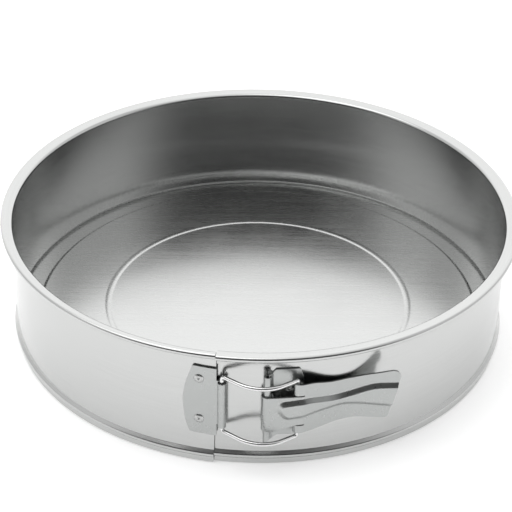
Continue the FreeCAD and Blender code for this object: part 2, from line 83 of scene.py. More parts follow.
HANDLE_OUTLINE = [
    (EAR[0], EAR_LOWER_Z[0]), (27.0, 22.9), (37.0, 24.3), (47.3, 24.8), (57.7, 24.0), (63.6, 23.8),
    (70.2, 52.7), (57.7, 50.2), (47.3, 48.5), (37.0, 48.0), (27.0, 50.6), (EAR[0], EAR_UPPER_Z[1]),
]
HANDLE_CORNERS = {1: 20, 2: 25, 3: 25, 4: 20, 5: 2.5, 6: 3.5, 7: 30, 8: 30, 9: 30, 10: 20}
PANEL_OUTLINE = [
    (9.4, 36.2), (14.0, 30.4), (28.0, 32.5), (40.0, 33.3), (51.0, 31.9), (72.0, 29.7),
    (72.0, 45.3), (57.0, 44.8), (46.5, 41.5), (38.5, 40.3), (23.5, 43.2), (11.0, 41.6),
]
PANEL_CORNERS = {0: 5, 1: 5, 2: 30, 3: 30, 4: 30, 7: 22, 8: 25, 9: 25, 10: 25, 11: 4}
BAIL_EAR_Z, BAIL_CATCH_Z = (19.6, 52.7), (21.5, 53.8)
BAIL_BOW, BAIL_BOW_PLACE, BAIL_BOW_RADIUS = 12.6, 0.52, 18.0
BAIL_BEND, BAIL_EAR_BEND = 1.9, 1.4
RIVET_HEAD = 2.5

CATCH_PLATE_RADIUS = INNER_RADIUS + LAP_GROWTH + BAND_THICKNESS + PLATE_GAP + PLATE_THICKNESS / 2
CATCH_CURL = WIRE_RADIUS + FIT + PLATE_THICKNESS / 2
HINGE_CURL = HINGE_TUBE_RADIUS - BRACKET_THICKNESS / 2
LEVER_CURL = HINGE_TUBE_RADIUS + FIT + PLATE_THICKNESS / 2
EAR_CURL = CATCH_CURL

EDGE = 0.16                # rounding of cut edges
POINT_CLEARANCE = 0.12     # between a sheet's outline and its inner points
SAGITTA, PACE = 0.001, 2.0     # how far an arc's chords may lie inside it, and their longest turn in degrees


def direction(degrees):
    """Unit vector at this azimuth or heading."""
    return np.array([math.cos(math.radians(degrees)), math.sin(math.radians(degrees))])


# ---------------------------------------------------------------- paths and outlines


class Trace:
    """A run of ("line", length) and ("arc", radius, turn) moves, read off by distance along it."""

    def __init__(self, start, heading, moves):
        here, angle, run = np.array(start, float), float(heading), 0.0
        rows = [(run, *here, angle)]
        self.marks = [0.0]
        for move in moves:
            normal = direction(angle + 90)
            if move[0] == "line":
                here = here + direction(angle) * move[1]
                run += move[1]
                rows.append((run, *here, angle))
            else:
                radius, turn = move[1], move[2]
                side = 1 if turn > 0 else -1
                centre = here + normal * side * radius
                pace = min(PACE, math.degrees(math.sqrt(8 * SAGITTA / radius)))
                count = math.ceil(abs(turn) / pace)
                for k in range(1, count + 1):
                    a = angle + turn * k / count
                    at = centre - direction(a + 90) * side * radius
                    rows.append((run + radius * math.radians(abs(turn)) * k / count, *at, a))
                angle += turn
                here, run = np.array(rows[-1][1:3]), rows[-1][0]
            self.marks.append(run)
        self.run, self.x, self.y, self.heading = np.array(rows).T
        self.length, self.end = run, (self.x[-1], self.y[-1])

    def at(self, run):
        """Points, and the unit normals to the left, at these distances."""
        run = np.asarray(run, float)
        heading = np.radians(np.interp(run, self.run, self.heading))
        point = np.stack([np.interp(run, self.run, self.x), np.interp(run, self.run, self.y)], -1)
        return point, np.stack([-np.sin(heading), np.cos(heading)], -1)

    def where(self, x, first, last):
        """Distance at which the path between two distances has this x."""
        keep = (self.run >= first - 1e-9) & (self.run <= last + 1e-9)
        runs, xs = self.run[keep], self.x[keep]
        order = np.argsort(xs)
        return np.interp(x, xs[order], runs[order])


def rounded(points, corners, closed=True):
    """Outline with its corners rounded to the radii given by point number."""
    points = [np.array(p, float) for p in points]
    count = len(points)
    result = []
    for i, here in enumerate(points):
        radius = corners.get(i, 0)
        if not radius or (not closed and i in (0, count - 1)):
            result.append(here)
            continue
        back, ahead = points[i - 1] - here, points[(i + 1) % count] - here
        back, ahead = back / np.linalg.norm(back), ahead / np.linalg.norm(ahead)
        half = math.acos(np.clip(back @ ahead, -1, 1)) / 2
        bisector = (back + ahead) / np.linalg.norm(back + ahead)
        centre = here + bisector * radius / math.sin(half)
        first, last = here + back * radius / math.tan(half), here + ahead * radius / math.tan(half)
        a = math.atan2(*(first - centre)[::-1])
        sweep = (math.atan2(*(last - centre)[::-1]) - a + math.pi) % (2 * math.pi) - math.pi
        steps = max(4, math.ceil(abs(sweep) / 0.16), math.ceil(abs(sweep) * radius / 0.7))
        for k in range(steps + 1):
            turn = a + sweep * k / steps
            result.append(centre + radius * np.array([math.cos(turn), math.sin(turn)]))
    return np.array(result)


def spaced(points, gap, closed=True):
    """The same outline with points no further apart than gap."""
    result = []
    last = len(points) if closed else len(points) - 1
    for i in range(last):
        a, b = points[i], points[(i + 1) % len(points)]
        steps = max(1, math.ceil(np.linalg.norm(b - a) / gap - 1e-6))
        if np.linalg.norm(b - a) < 1e-6:
            continue
        result += [a + (b - a) * k / steps for k in range(steps)]
    if not closed:
        result.append(points[-1])
    return np.array(result)


def outward(loop):
    """Mitred outward vectors of a closed outline whatever way it runs."""
    after, before = np.roll(loop, -1, 0) - loop, loop - np.roll(loop, 1, 0)
    x, y = loop.T
    turn = 1 if np.sum(x * np.roll(y, -1) - np.roll(x, -1) * y) > 0 else -1
    normals = []
    for edge in (before, after):
        unit = edge / np.linalg.norm(edge, axis=1, keepdims=True)
        normals.append(np.stack([unit[:, 1], -unit[:, 0]], -1) * turn)
    both = normals[0] + normals[1]
    return both / np.maximum((both * both).sum(1, keepdims=True) / 2, 0.6)


def inside(points, loop):
    """Which points lie within a closed outline."""
    result = np.zeros(len(points), bool)
    x, y = points[:, 0], points[:, 1]
    for (ax, ay), (bx, by) in zip(loop, np.roll(loop, -1, 0)):
        if ay != by:
            crosses = (ay > y) != (by > y)
            result ^= crosses & (x < (bx - ax) * (y - ay) / (by - ay) + ax)
    return result


def distance(points, loop):
    """How far each point is from a closed outline."""
    best = np.full(len(points), 1e9)
    for a, b in zip(loop, np.roll(loop, -1, 0)):
        edge = b - a
        share = np.clip(((points - a) @ edge) / max(edge @ edge, 1e-12), 0, 1)
        best = np.minimum(best, np.linalg.norm(points - a - share[:, None] * edge, axis=1))
    return best


# ---------------------------------------------------------------- meshes


def make_piece(name, points, faces, normals=None, flat=(), sides=0):
    """Mesh object from points in millimetres. flat lists faces that keep their own normal.

    The first faces, as many as sides, are a sheet's two sides, and its cut edges don't turn their normals.
    """
    points = np.asarray(points, float)
    mesh = bpy.data.meshes.new(name)
    mesh.from_pydata((points * MM).tolist(), [], faces)
    mesh.polygons.foreach_set("use_smooth", [True] * len(mesh.polygons))
    mesh.update()
    own = np.zeros(len(mesh.polygons) * 3)
    mesh.polygons.foreach_get("normal", own)
    own = own.reshape(-1, 3)
    if normals is None:
        area = np.zeros(len(mesh.polygons))
        mesh.polygons.foreach_get("area", area)
        normals = np.zeros((len(points), 3))
        for k, face in enumerate(faces[:sides]):
            normals[list(face)] += own[k] * area[k]
        settled = np.linalg.norm(normals, axis=1) > 0
        for k, face in enumerate(faces[sides:], sides):
            normals[[v for v in face if not settled[v]]] += own[k] * area[k]
        normals /= np.maximum(np.linalg.norm(normals, axis=1, keepdims=True), 1e-15)
    corner = normals[[v for face in faces for v in face]]
    start = np.cumsum([0] + [len(f) for f in faces])
    for k in flat:
        corner[start[k]:start[k + 1]] = own[k]
    mesh.normals_split_custom_set(corner.tolist())
    piece = bpy.data.objects.new(name, mesh)
    bpy.context.scene.collection.objects.link(piece)
    return piece


def pressed_sheet(name, place, outline, thickness, grid, holes=(), lift=None, gap=0.35):
    """Sheet with rounded cut edges, cut to a flat outline and bent.

    place(flat) gives the bent mid surface and its outward normal at flat points (run, height).
    grid is the runs and the heights of the inner points. lift(flat) is how far the pressed relief
    stands out.
    """
    loops = [spaced(np.array(loop, float), gap) for loop in (outline, *holes)]
    outs = [outward(loop) * (1 if k == 0 else -1) for k, loop in enumerate(loops)]
    inset = [loop - out * EDGE for loop, out in zip(loops, outs)]

    inner = np.stack(np.meshgrid(*grid, indexing="ij"), -1).reshape(-1, 2)
    keep = inside(inner, inset[0]) & (distance(inner, inset[0]) > POINT_CLEARANCE)
    for loop in inset[1:]:
        keep &= ~inside(inner, loop) & (distance(inner, loop) > POINT_CLEARANCE)
    flat = np.vstack(inset + [inner[keep]])
    edges, first = [], 0
    for loop in inset:
        count = len(loop)
        edges += [(first + i, first + (i + 1) % count) for i in range(count)]
        first += count
    made = delaunay_2d_cdt([Vector(p) for p in flat], edges, [], 0, 1e-7)
    coords = np.array([tuple(v) for v in made[0]])
    triangles = [tuple(f) for f in made[2]]
    middle = coords[np.array(triangles)].mean(1)
    good = inside(middle, inset[0])
    for loop in inset[1:]:
        good &= ~inside(middle, loop)
    triangles = [t for t, g in zip(triangles, good) if g]
    new_index = {old: k for k, origins in enumerate(made[3]) for old in origins}

    def level(at, depth):
        surface, normal = place(at)
        out = thickness / 2 - depth
        if lift:
            out = (out + lift(at))[:, None]
        return surface + normal * out

    count = len(coords)
    points = [level(coords, 0.0), level(coords, thickness)]
    a, b, c = triangles[0]
    face_normal = np.cross(points[0][b] - points[0][a], points[0][c] - points[0][a])
    out_normal = place(coords[[a]])[1][0]
    if face_normal @ out_normal < 0:
        triangles = [t[::-1] for t in triangles]
    faces = list(triangles) + [tuple(v + count for v in t[::-1]) for t in triangles]
    total, first = 2 * count, 0
    curve = [math.radians(a) for a in (30, 60, 90)]
    steps = [(EDGE * math.sin(a), EDGE * (1 - math.cos(a))) for a in curve]
    steps += [(reach, thickness - depth) for reach, depth in reversed(steps)]
    directed = set()
    for t in triangles:
        directed |= {(t[0], t[1]), (t[1], t[2]), (t[2], t[0])}
    for loop, out in zip(inset, outs):
        size = len(loop)
        front = [new_index[first + i] for i in range(size)]
        rings = [front]
        for reach, depth in steps:
            points.append(level(loop + out * reach, depth))
            rings.append([total + i for i in range(size)])
            total += size
        rings.append([v + count for v in front])
        flip = (front[0], front[1]) in directed
        for upper, lower in zip(rings, rings[1:]):
            for i in range(size):
                j = (i + 1) % size
                quad = (upper[i], lower[i], lower[j], upper[j])
                faces.append(quad if flip else quad[::-1])
        first += size
    points = np.vstack(points)
    used = sorted({v for f in faces for v in f})
    index = {v: k for k, v in enumerate(used)}
    return make_piece(name, points[used], [tuple(index[v] for v in f) for f in faces],
                      sides=2 * len(triangles))


def revolve(section, normals, centre, azimuths, narrowing=None, wrap=False):
    """Closed section of (radius, height) points turned about a vertical axis, as points and faces.

    narrowing draws the section's points in, by this much at the last azimuth and not at the first.
    """
    rings, sides = [], []
    for azimuth in azimuths:
        c, s = direction(azimuth)
        r, z = section.T
        if narrowing is not None:
            r = r - narrowing * (azimuth - azimuths[0]) / (azimuths[-1] - azimuths[0])
        rings.append(np.stack([centre[0] + r * c, centre[1] + r * s, z], -1))
        nr, nz = normals.T
        sides.append(np.stack([nr * c, nr * s, nz], -1))
    size, count = len(section), len(azimuths)
    faces = []
    for i in range(count if wrap else count - 1):
        a, b = i * size, (i + 1) % count * size
        for j in range(size):
            k = (j + 1) % size
            faces.append((a + j, b + j, b + k, a + k))
    flat = []
    if not wrap:
        flat = [len(faces), len(faces) + 1]
        faces.append(tuple(range(size)))
        faces.append(tuple(reversed(range((count - 1) * size, count * size))))
    return np.vstack(rings), faces, np.vstack(sides), flat


def sheet_section(trace, runs, thickness, right):
    """Closed section round a path that is one face of a sheet, with round cut edges."""
    point, left = trace.at(runs)
    side = -left if right else left
    half = thickness / 2
    middle = point + side * half
    face = middle - side * half
    back = middle + side * half
    cap = np.radians(np.arange(30, 180, 30))

    def end(k, way):
        tangent = np.array([side[k][1], -side[k][0]]) * way
        spots = [side[k] * -math.cos(a) + tangent * math.sin(a) for a in cap]
        return middle[k] + half * np.array(spots), np.array(spots)

    forward = np.array([side[0][1], -side[0][0]]) @ (point[1] - point[0])
    way = 1 if forward > 0 else -1
    last_points, last_normals = end(-1, way)
    first_points, first_normals = end(0, -way)
    section = np.vstack([face, last_points, back[::-1], first_points[::-1]])
    normals = np.vstack([-side, last_normals, side[::-1], first_normals[::-1]])
    x, y = section.T
    if np.sum(x * np.roll(y, -1) - np.roll(x, -1) * y) < 0:
        section, normals = section[::-1], normals[::-1]
    return section, normals


def runs_along(trace, bend_step, line_step):
    """Distances along a path, close together on its bends."""
    result = [0.0]
    for a, b in zip(trace.marks, trace.marks[1:]):
        heading = np.interp([a + 1e-6, b - 1e-6], trace.run, trace.heading)
        turn = abs(heading[1] - heading[0])
        steps = max(1, math.ceil(turn / bend_step), math.ceil((b - a) / line_step))
        result += [a + (b - a) * (k + 1) / steps for k in range(steps)]
    return np.array(result)


def tube(points, radius, sides=24):
    """Round wire along a dense path, with flat capped ends, as points and faces."""
    points = np.array(points, float)
    tangents = np.gradient(points, axis=0)
    tangents /= np.linalg.norm(tangents, axis=1, keepdims=True)
    up = Vector((0.3, 1.0, 0.2)).cross(Vector(tangents[0])).normalized()
    rings = []
    for point, tangent in zip(points, tangents):
        t = Vector(tangent)
        up = (up - t * up.dot(t)).normalized()
        across = t.cross(up)
        for k in range(sides):
            a = 2 * math.pi * k / sides
            rings.append(point + radius * (math.cos(a) * np.array(up) + math.sin(a) * np.array(across)))
    faces = []
    for i in range(len(points) - 1):
        for k in range(sides):
            j = (k + 1) % sides
            faces.append((i * sides + k, i * sides + j, (i + 1) * sides + j, (i + 1) * sides + k))
    flat = [len(faces), len(faces) + 1]
    faces.append(tuple(reversed(range(sides))))
    faces.append(tuple(range((len(points) - 1) * sides, len(points) * sides)))
    return rings, faces, flat


# ---------------------------------------------------------------- finishes


def node_chain(tree):
    """Two helpers for a node tree: add makes a node, and math_node joins a maths node to its inputs."""
    def add(kind, **settings):
        node = tree.nodes.new(kind)
        for key, value in settings.items():
            if key.startswith("in_"):
                slot = key[3:]
                node.inputs[int(slot) if slot.isdigit() else slot.replace("_", " ")].default_value = value
            else:
                setattr(node, key, value)
        return node

    def math_node(operation, a, b=None):
        node = add("ShaderNodeMath", operation=operation)
        for slot, value in ((0, a), (1, b)):
            if value is None:
                continue
            if isinstance(value, (int, float)):
                node.inputs[slot].default_value = value
            else:
                tree.links.new(value, node.inputs[slot])
        return node.outputs[0]

    return add, math_node


CLOUD_SCALE, GRIT_SCALE = 38.0, 900.0      # broad clouding and fine grit, in spots per metre
CLOUD, GRIT_RELIEF = 0.03, 0.35            # how much the clouding shades, and the grit's share of the relief
DARKEST, BRIGHTEST = 0.55, 1.45            # ends of the shading, times the base tint
SCRATCH_ROUGH, CLOUD_ROUGH = 0.16, 0.10    # how much each changes the roughness
RELIEF_DEPTH = 0.00004                     # metres


def steel(name, colour, roughness, grain, spread, bump, run="even", speck=0.0):
    """Worked sheet steel. grain is the size of its fine scratches, (along, across) in millimetres.

    spread and speck are how much the scratches and the grit shade it. run is how the scratches lie:
    "round" the pan's axis, "straight" along X, or "even".
    """
    material = bpy.data.materials.new(name)
    material.use_nodes = True
    tree = material.node_tree
    tree.nodes.clear()
    add, calc = node_chain(tree)
    link = tree.links.new
    out = add("ShaderNodeOutputMaterial")
    shader = add("ShaderNodeBsdfPrincipled", in_Metallic=1.0)
    link(shader.outputs[0], out.inputs[0])
    where = add("ShaderNodeTexCoord").outputs["Object"]
    split = add("ShaderNodeSeparateXYZ")
    link(where, split.inputs[0])
    x, y, z = split.outputs
    along, across = grain
    join = add("ShaderNodeCombineXYZ")
    if run == "round":
        radius = calc("SQRT", calc("ADD", calc("MULTIPLY", x, x), calc("MULTIPLY", y, y)))
        turn = calc("ARCTAN2", x, calc("MULTIPLY", y, -1.0))
        link(calc("MULTIPLY", turn, INNER_RADIUS / along), join.inputs[0])
        link(calc("MULTIPLY", radius, 1 / (across * MM)), join.inputs[1])
    else:
        link(calc("MULTIPLY", x, 1 / (along * MM)), join.inputs[0])
        link(calc("MULTIPLY", y, 1 / ((across if run == "straight" else along) * MM)), join.inputs[1])
    link(calc("MULTIPLY", z, 1 / (across * MM)), join.inputs[2])
    fine = add("ShaderNodeTexNoise", in_Scale=1.0, in_Detail=3.0, in_Roughness=0.6)
    link(join.outputs[0], fine.inputs["Vector"])
    broad = add("ShaderNodeTexNoise", in_Scale=CLOUD_SCALE, in_Detail=3.0, in_Roughness=0.55)
    link(where, broad.inputs["Vector"])
    grit = add("ShaderNodeTexNoise", in_Scale=GRIT_SCALE, in_Detail=2.0, in_Roughness=0.5)
    link(where, grit.inputs["Vector"])

    def swing(noise, amount):
        return calc("MULTIPLY", calc("SUBTRACT", noise.outputs[0], 0.5), amount)

    # colour: the base tint made slightly darker and lighter by the scratches, the clouding and the grit
    shade = calc("ADD", swing(fine, spread), swing(broad, CLOUD))
    if speck:
        shade = calc("ADD", shade, swing(grit, speck))
    level = calc("ADD", shade, 0.5)
    ramp = add("ShaderNodeValToRGB")
    ramp.color_ramp.elements[0].position, ramp.color_ramp.elements[1].position = 0.0, 1.0
    ramp.color_ramp.elements[0].color = (*[c * DARKEST for c in colour], 1)
    ramp.color_ramp.elements[1].color = (*[min(1.0, c * BRIGHTEST) for c in colour], 1)
    link(level, ramp.inputs[0])
    link(ramp.outputs[0], shader.inputs["Base Color"])

    rough = calc("ADD", swing(fine, SCRATCH_ROUGH), calc("ADD", swing(broad, CLOUD_ROUGH), roughness))
    link(rough, shader.inputs["Roughness"])
    relief = calc("ADD", fine.outputs[0], calc("MULTIPLY", grit.outputs[0], GRIT_RELIEF))
    press = add("ShaderNodeBump", in_Strength=bump, in_Distance=RELIEF_DEPTH)
    link(relief, press.inputs["Height"])
    link(press.outputs[0], shader.inputs["Normal"])
    return material


TIN = steel("rolled_tinplate", (0.52, 0.525, 0.52), 0.19, (90.0, 0.6), 0.14, 0.22, "round")
BASE_TIN = steel("base_tinplate_finish", (0.56, 0.565, 0.56), 0.27, (55.0, 1.1), 0.05, 0.10, "straight")
ZINC = steel("pressed_steel", (0.405, 0.415, 0.41), 0.30, (1.6, 1.6), 0.03, 0.10, speck=0.025)
WIRE = steel("bright_wire", (0.74, 0.745, 0.74), 0.17, (1.0, 2.5), 0.05, 0.15)
RIVET = steel("rivet_steel_finish", (0.45, 0.455, 0.45), 0.28, (0.8, 0.8), 0.06, 0.25)


def fit_out(piece, material, nodes, body=None, blended=None):
    """Give a piece its material, hide the CAD nodes it stands for, and attach it to its body; a blended piece
    only has its transform baked in, and the bodies in blended are not used.
    """
    piece.data.materials.clear()
    piece.data.materials.append(material)
    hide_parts(*nodes)
    if blended:
        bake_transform(piece)
    else:
        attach(piece, body)
    return piece


# ---------------------------------------------------------------- band and base


def band_trace(top=None):
    """The band's inner face from its foot up to the end of the rim's curl, or to a cut at height top."""
    lean = 90 + SKIRT_LEAN
    moves = [
        ("line", SKIRT_RISE / math.cos(math.radians(SKIRT_LEAN))),
        ("arc", BEND_RADIUS, -(lean - GROOVE_FLANK)),
        ("line", GROOVE_LOWER_FLANK),
        ("arc", BEND_RADIUS, 2 * GROOVE_FLANK),
        ("line", GROOVE_UPPER_FLANK),
        ("arc", BEND_RADIUS, -GROOVE_FLANK),
    ]
    foot = (SKIRT_TOP_OFFSET + SKIRT_RISE * math.tan(math.radians(SKIRT_LEAN)), 0.0)
    x, z = Trace(foot, lean, moves).end
    flare = math.radians(FLARE_TURN)
    lip_rise = (FLARE_RADIUS - RIM_RADIUS) * math.sin(flare) + LIP_LENGTH * math.cos(flare)
    wall_top = top if top else HEIGHT - RIM_RADIUS - lip_rise
    moves.append(("line", wall_top - z))
    if not top:
        moves += [("arc", FLARE_RADIUS, -FLARE_TURN), ("line", LIP_LENGTH), ("arc", RIM_RADIUS, -RIM_CURL)]
    return Trace((foot[0] - x, foot[1]), lean, moves)


def band_section(radius, top=None):
    """The band's closed section, with its wall's inner face at this radius, and the section's normals."""
    trace = band_trace(top)
    runs = runs_along(trace, 11.0, 7.0)
    runs[0] = BAND_THICKNESS / 2
    section, normals = sheet_section(trace, runs, BAND_THICKNESS, True)
    return section + np.array([radius, 0.0]), normals


def azimuths(first, last, step=1.0):
    """Azimuths from first to last, no more than step apart."""
    return np.linspace(first, last, math.ceil((last - first) / step) + 1)


def band_piece(name, parts):
    """One mesh of parts, each a (section, normals), centre and azimuths, and a narrowing if it has one."""
    points, faces, normals, flat, first = [], [], [], [], 0
    for section, centre, around, *narrowing in parts:
        p, f, n, caps = revolve(*section, centre, around, *narrowing)
        flat += [len(faces) + k for k in caps]
        faces += [tuple(v + first for v in face) for face in f]
        points.append(p)
        normals.append(n)
        first += len(p)
    return make_piece(name, np.vstack(points), faces, np.vstack(normals), flat)


def cut_back_foot(arc):
    """Lean the left arc's free edge, so that it ends earlier at the foot than at the lip."""
    for vertex in arc.data.vertices:
        arm = np.array(vertex.co[:2]) / MM - LAP_CENTRE
        azimuth = math.degrees(math.atan2(arm[1], arm[0])) % 360
        share = max(0.0, (azimuth - FLEXURE_LEFT) / (OUTER_END - FLEXURE_LEFT))
        turn = math.radians(END_LEAN * (1 - vertex.co[2] / MM / HEIGHT)) * share ** END_LEAN_POWER
        c, s = math.cos(turn), math.sin(turn)
        vertex.co[:2] = (LAP_CENTRE + (arm[0] * c + arm[1] * s, arm[1] * c - arm[0] * s)) * MM


ORIGIN = np.zeros(2)
LAP_CENTRE = direction(FLEXURE_LEFT) * -LAP_GROWTH
FULL = band_section(INNER_RADIUS)
GROWN = band_section(INNER_RADIUS + LAP_GROWTH)
TRIMMED = band_section(INNER_RADIUS, LAP_TRIM_HEIGHT)
LAP_STOP = OUTER_END + LAP_TRIM_MARGIN - 360

back = band_piece("band_back", [(FULL, ORIGIN, azimuths(FLEXURE_RIGHT, FLEXURE_LEFT))])
beyond_flange = GROWN[0][:, 0] > INNER_RADIUS + LAP_GROWTH + FLARE_RADIUS + LIP_LENGTH / 2
left = band_piece("band_left", [
    (GROWN, LAP_CENTRE, azimuths(FLEXURE_LEFT, OUTER_END), np.where(beyond_flange, LIP_NARROWING, 0.0)),
])
cut_back_foot(left)
right = band_piece("band_right", [
    (TRIMMED, ORIGIN, azimuths(INNER_END - 360, LAP_STOP)),
    (FULL, ORIGIN, azimuths(LAP_STOP, FLEXURE_RIGHT)),
])
BLEND_START, BLEND_END = (0.0, 0.065, 0.03), (0.0, 0.0, 0.03)  # between the flexures and the pan's middle
fit_out(back, TIN, ["spring_band_back"], "root")
for piece, node, arc in ((left, "spring_band_left", "left_arc"), (right, "spring_band_right", "right_arc")):
    fit_out(piece, TIN, [node],
            blended=("root", arc, BLEND_START, BLEND_END))


def base_piece():
    """Pressed disc: a raised middle with a round bead in it, a step down, and the edge in the groove."""
    bend, curve = 1.5, 4.0
    bead = [("arc", curve, BASE_BEAD_ANGLE / 2), ("arc", curve, -BASE_BEAD_ANGLE),
            ("arc", curve, BASE_BEAD_ANGLE / 2)]
    bead_half = 2 * curve * math.sin(math.radians(BASE_BEAD_ANGLE / 2))
    step_angle = math.radians(BASE_STEP_ANGLE)
    drop = BASE_STEP - 2 * bend * (1 - math.cos(step_angle))
    step = [("arc", bend, -BASE_STEP_ANGLE), ("line", drop / math.sin(step_angle)),
            ("arc", bend, BASE_STEP_ANGLE)]
    step_width = Trace((0, 0), 0, step).end[0]
    core = 3.0      # the middle inside this radius is one flat face
    flat_width = BASE_RADIUS - BASE_EDGE_WIDTH - step_width - BASE_BEAD_RADIUS - bead_half
    moves = [("line", BASE_BEAD_RADIUS - bead_half - core)] + bead
    moves += [("line", flat_width)] + step + [("line", BASE_EDGE_WIDTH - BASE_THICKNESS / 2)]
    trace = Trace((core, BASE_LEVEL + BASE_STEP), 0, moves)
    runs = runs_along(trace, 6.0, 9.0)
    point, normal = trace.at(runs)
    top = point + normal * BASE_THICKNESS
    cap = np.radians([-60, -30, 0, 30, 60])
    end = point[-1] + normal[-1] * BASE_THICKNESS / 2
    edge = np.stack([np.cos(cap), np.sin(cap)], -1)
    section = np.vstack([point, end + edge * BASE_THICKNESS / 2, top[::-1]])
    normals = np.vstack([-normal, edge, normal[::-1]])
    around = np.arange(0, 360, 1.5)
    size, count = len(section), len(around)
    points, faces, sides, _ = revolve(section, normals, ORIGIN, around, wrap=True)
    faces = [f for f in faces if not {f[0] % size, f[3] % size} == {0, size - 1}]
    flat = [len(faces), len(faces) + 1]
    faces.append(tuple(i * size for i in reversed(range(count))))
    faces.append(tuple(i * size + size - 1 for i in range(count)))
    return make_piece("pan_base", points, faces, sides, flat)


fit_out(base_piece(), BASE_TIN, ["base_plate"], "root")

# ---------------------------------------------------------------- catch side


def catch_pivot():
    """Axis of the catch barrel, seen from above."""
    return LAP_CENTRE + direction(CATCH_BARREL_AZIMUTH) * (CATCH_PLATE_RADIUS + CATCH_CURL)


def bent(trace, away):
    """place() for a sheet that follows one path. away is 1 where outwards is the path's left."""
    def place(flat):
        point, normal = trace.at(flat[:, 0])
        return (np.column_stack([point, flat[:, 1]]),
                np.column_stack([normal * away, np.zeros(len(flat))]))
    return place


def catch_piece():
    """Plate on the left arc, with a curved left edge and a barrel rolled from its right edge."""
    first = CATCH_BARREL_AZIMUTH - CATCH_PLATE_SPAN
    start = LAP_CENTRE + direction(first) * CATCH_PLATE_RADIUS
    trace = Trace(start, first + 90, [
        ("arc", CATCH_PLATE_RADIUS, CATCH_PLATE_SPAN), ("arc", CATCH_CURL, -CURL_TURN),
    ])
    bend = trace.marks[1]
    low, high = CATCH_PLATE_Z
    right_x = catch_pivot()[0] - 2.5

    def plate(x, z):
        return trace.where(x, 0, bend), z

    stop = trace.length
    right = plate(right_x, 0)[0]
    outline = [
        plate(-31.4, low), (right, low - 0.6), (right, CATCH_BARREL_Z[0]), (stop, CATCH_BARREL_Z[0]),
        (stop, CATCH_BARREL_Z[1]), (right, CATCH_BARREL_Z[1]), (right, high - 0.6), plate(-29.9, high),
        plate(-33.4, high - 10.8), plate(-34.8, (low + high) / 2), plate(-33.6, low + 6.4),
    ]
    outline = rounded(outline, {0: 2, 1: 0.4, 6: 0.4, 7: 1.2, 8: 25, 9: 18, 10: 22})
    runs = np.concatenate([np.arange(0.4, bend - 0.2, 0.8), np.arange(bend, stop, 0.22)])
    return pressed_sheet("catch_plate", bent(trace, -1), outline, PLATE_THICKNESS,
                         (runs, np.arange(low - 0.2, high, 0.8)), gap=0.3)


def rivet_heads(name, centre, azimuth, heights, plate_radius, inside_radius, inner_head):
    """Tubular rivets: a low dome with a pit outside; inside a low dome, or a flush end.

    Their outline is (radius, height over the plate), from the outer head's middle to the inner end's.
    """
    dome = [(0.0, 0.10), (0.25, 0.12), (0.40, 0.24), (0.52, 0.44), (0.70, 0.57), (1.00, 0.62),
            (1.40, 0.57), (1.80, 0.44), (2.15, 0.25), (2.37, 0.10), (RIVET_HEAD, 0.0), (1.57, -0.05)]
    depth = plate_radius - inside_radius
    if inner_head:
        tail = [(1.57, 0.05 - depth), (RIVET_HEAD, -depth), (2.3, -depth - 0.16), (1.7, -depth - 0.34),
                (0.9, -depth - 0.43), (0.0, -depth - 0.45)]
    else:
        tail = [(1.57, -depth), (1.3, -depth - 0.02), (0.0, -depth - 0.02)]
    profile = dome + tail
    sides = 32
    out = np.array([*direction(azimuth), 0.0])
    across = np.array([-out[1], out[0], 0.0])
    up = np.array([0.0, 0.0, 1.0])
    points, faces = [], []
    for z in heights:
        base = np.array([*(centre + direction(azimuth) * plate_radius), z])
        first = len(points)
        points.append(base + out * profile[0][1])
        for r, h in profile[1:-1]:
            for k in range(sides):
                a = 2 * math.pi * k / sides
                points.append(base + out * h + r * (across * math.cos(a) + up * math.sin(a)))
        points.append(base + out * profile[-1][1])
        last = len(points) - 1
        rows = len(profile) - 2
        for k in range(sides):
            j = (k + 1) % sides
            faces.append((first, first + 1 + k, first + 1 + j))
            for row in range(rows - 1):
                a, b = first + 1 + row * sides, first + 1 + (row + 1) * sides
                faces.append((a + k, b + k, b + j, a + j))
            a = first + 1 + (rows - 1) * sides
            faces.append((last, a + j, a + k))
    return make_piece(name, points, faces)


fit_out(catch_piece(), ZINC, ["catch_bracket"], "left_arc")
LAP_RADIUS = INNER_RADIUS + LAP_GROWTH
fit_out(rivet_heads("catch_rivet_heads", LAP_CENTRE, CATCH_RIVET_AZIMUTH, CATCH_RIVET_Z,
                    LAP_RADIUS + BAND_THICKNESS + PLATE_GAP + PLATE_THICKNESS, LAP_RADIUS + FIT, False),
        RIVET, ["catch_rivets"], "left_arc")

# ---------------------------------------------------------------- hinge side


def hinge_trace():
    """Middle of the hinge bracket's sheet: its plate on the band, the jog outwards, and the hinge tube.

    The jog's length is found by halving, so that the sheet meets the tube.
    """
    radius = INNER_RADIUS + BAND_THICKNESS + PLATE_GAP + BRACKET_THICKNESS / 2
    curl_foot = -HINGE[1] - HINGE_CURL
    jog = math.radians(HINGE_JOG_ANGLE)
    low, high = 0.0, 20.0
    for _ in range(60):
        length = (low + high) / 2
        width = 2 * HINGE_JOG_RADIUS * math.sin(jog) + length * math.cos(jog)
        lean = math.degrees(math.asin((HINGE[0] + width) / radius))
        moves = [
            ("arc", radius, -(HINGE_PLATE_END - 270 - lean)),
            ("arc", HINGE_JOG_RADIUS, HINGE_JOG_ANGLE - lean),
            ("line", length),
            ("arc", HINGE_JOG_RADIUS, -HINGE_JOG_ANGLE),
        ]
        path = Trace(direction(HINGE_PLATE_END) * radius, HINGE_PLATE_END - 90, moves)
        x, y = path.end
        if -y < curl_foot:
            low = length
        else:
            high = length
    moves += [("line", x - HINGE[0]), ("arc", HINGE_CURL, CURL_TURN)]
    return Trace(direction(HINGE_PLATE_END) * radius, HINGE_PLATE_END - 90, moves)


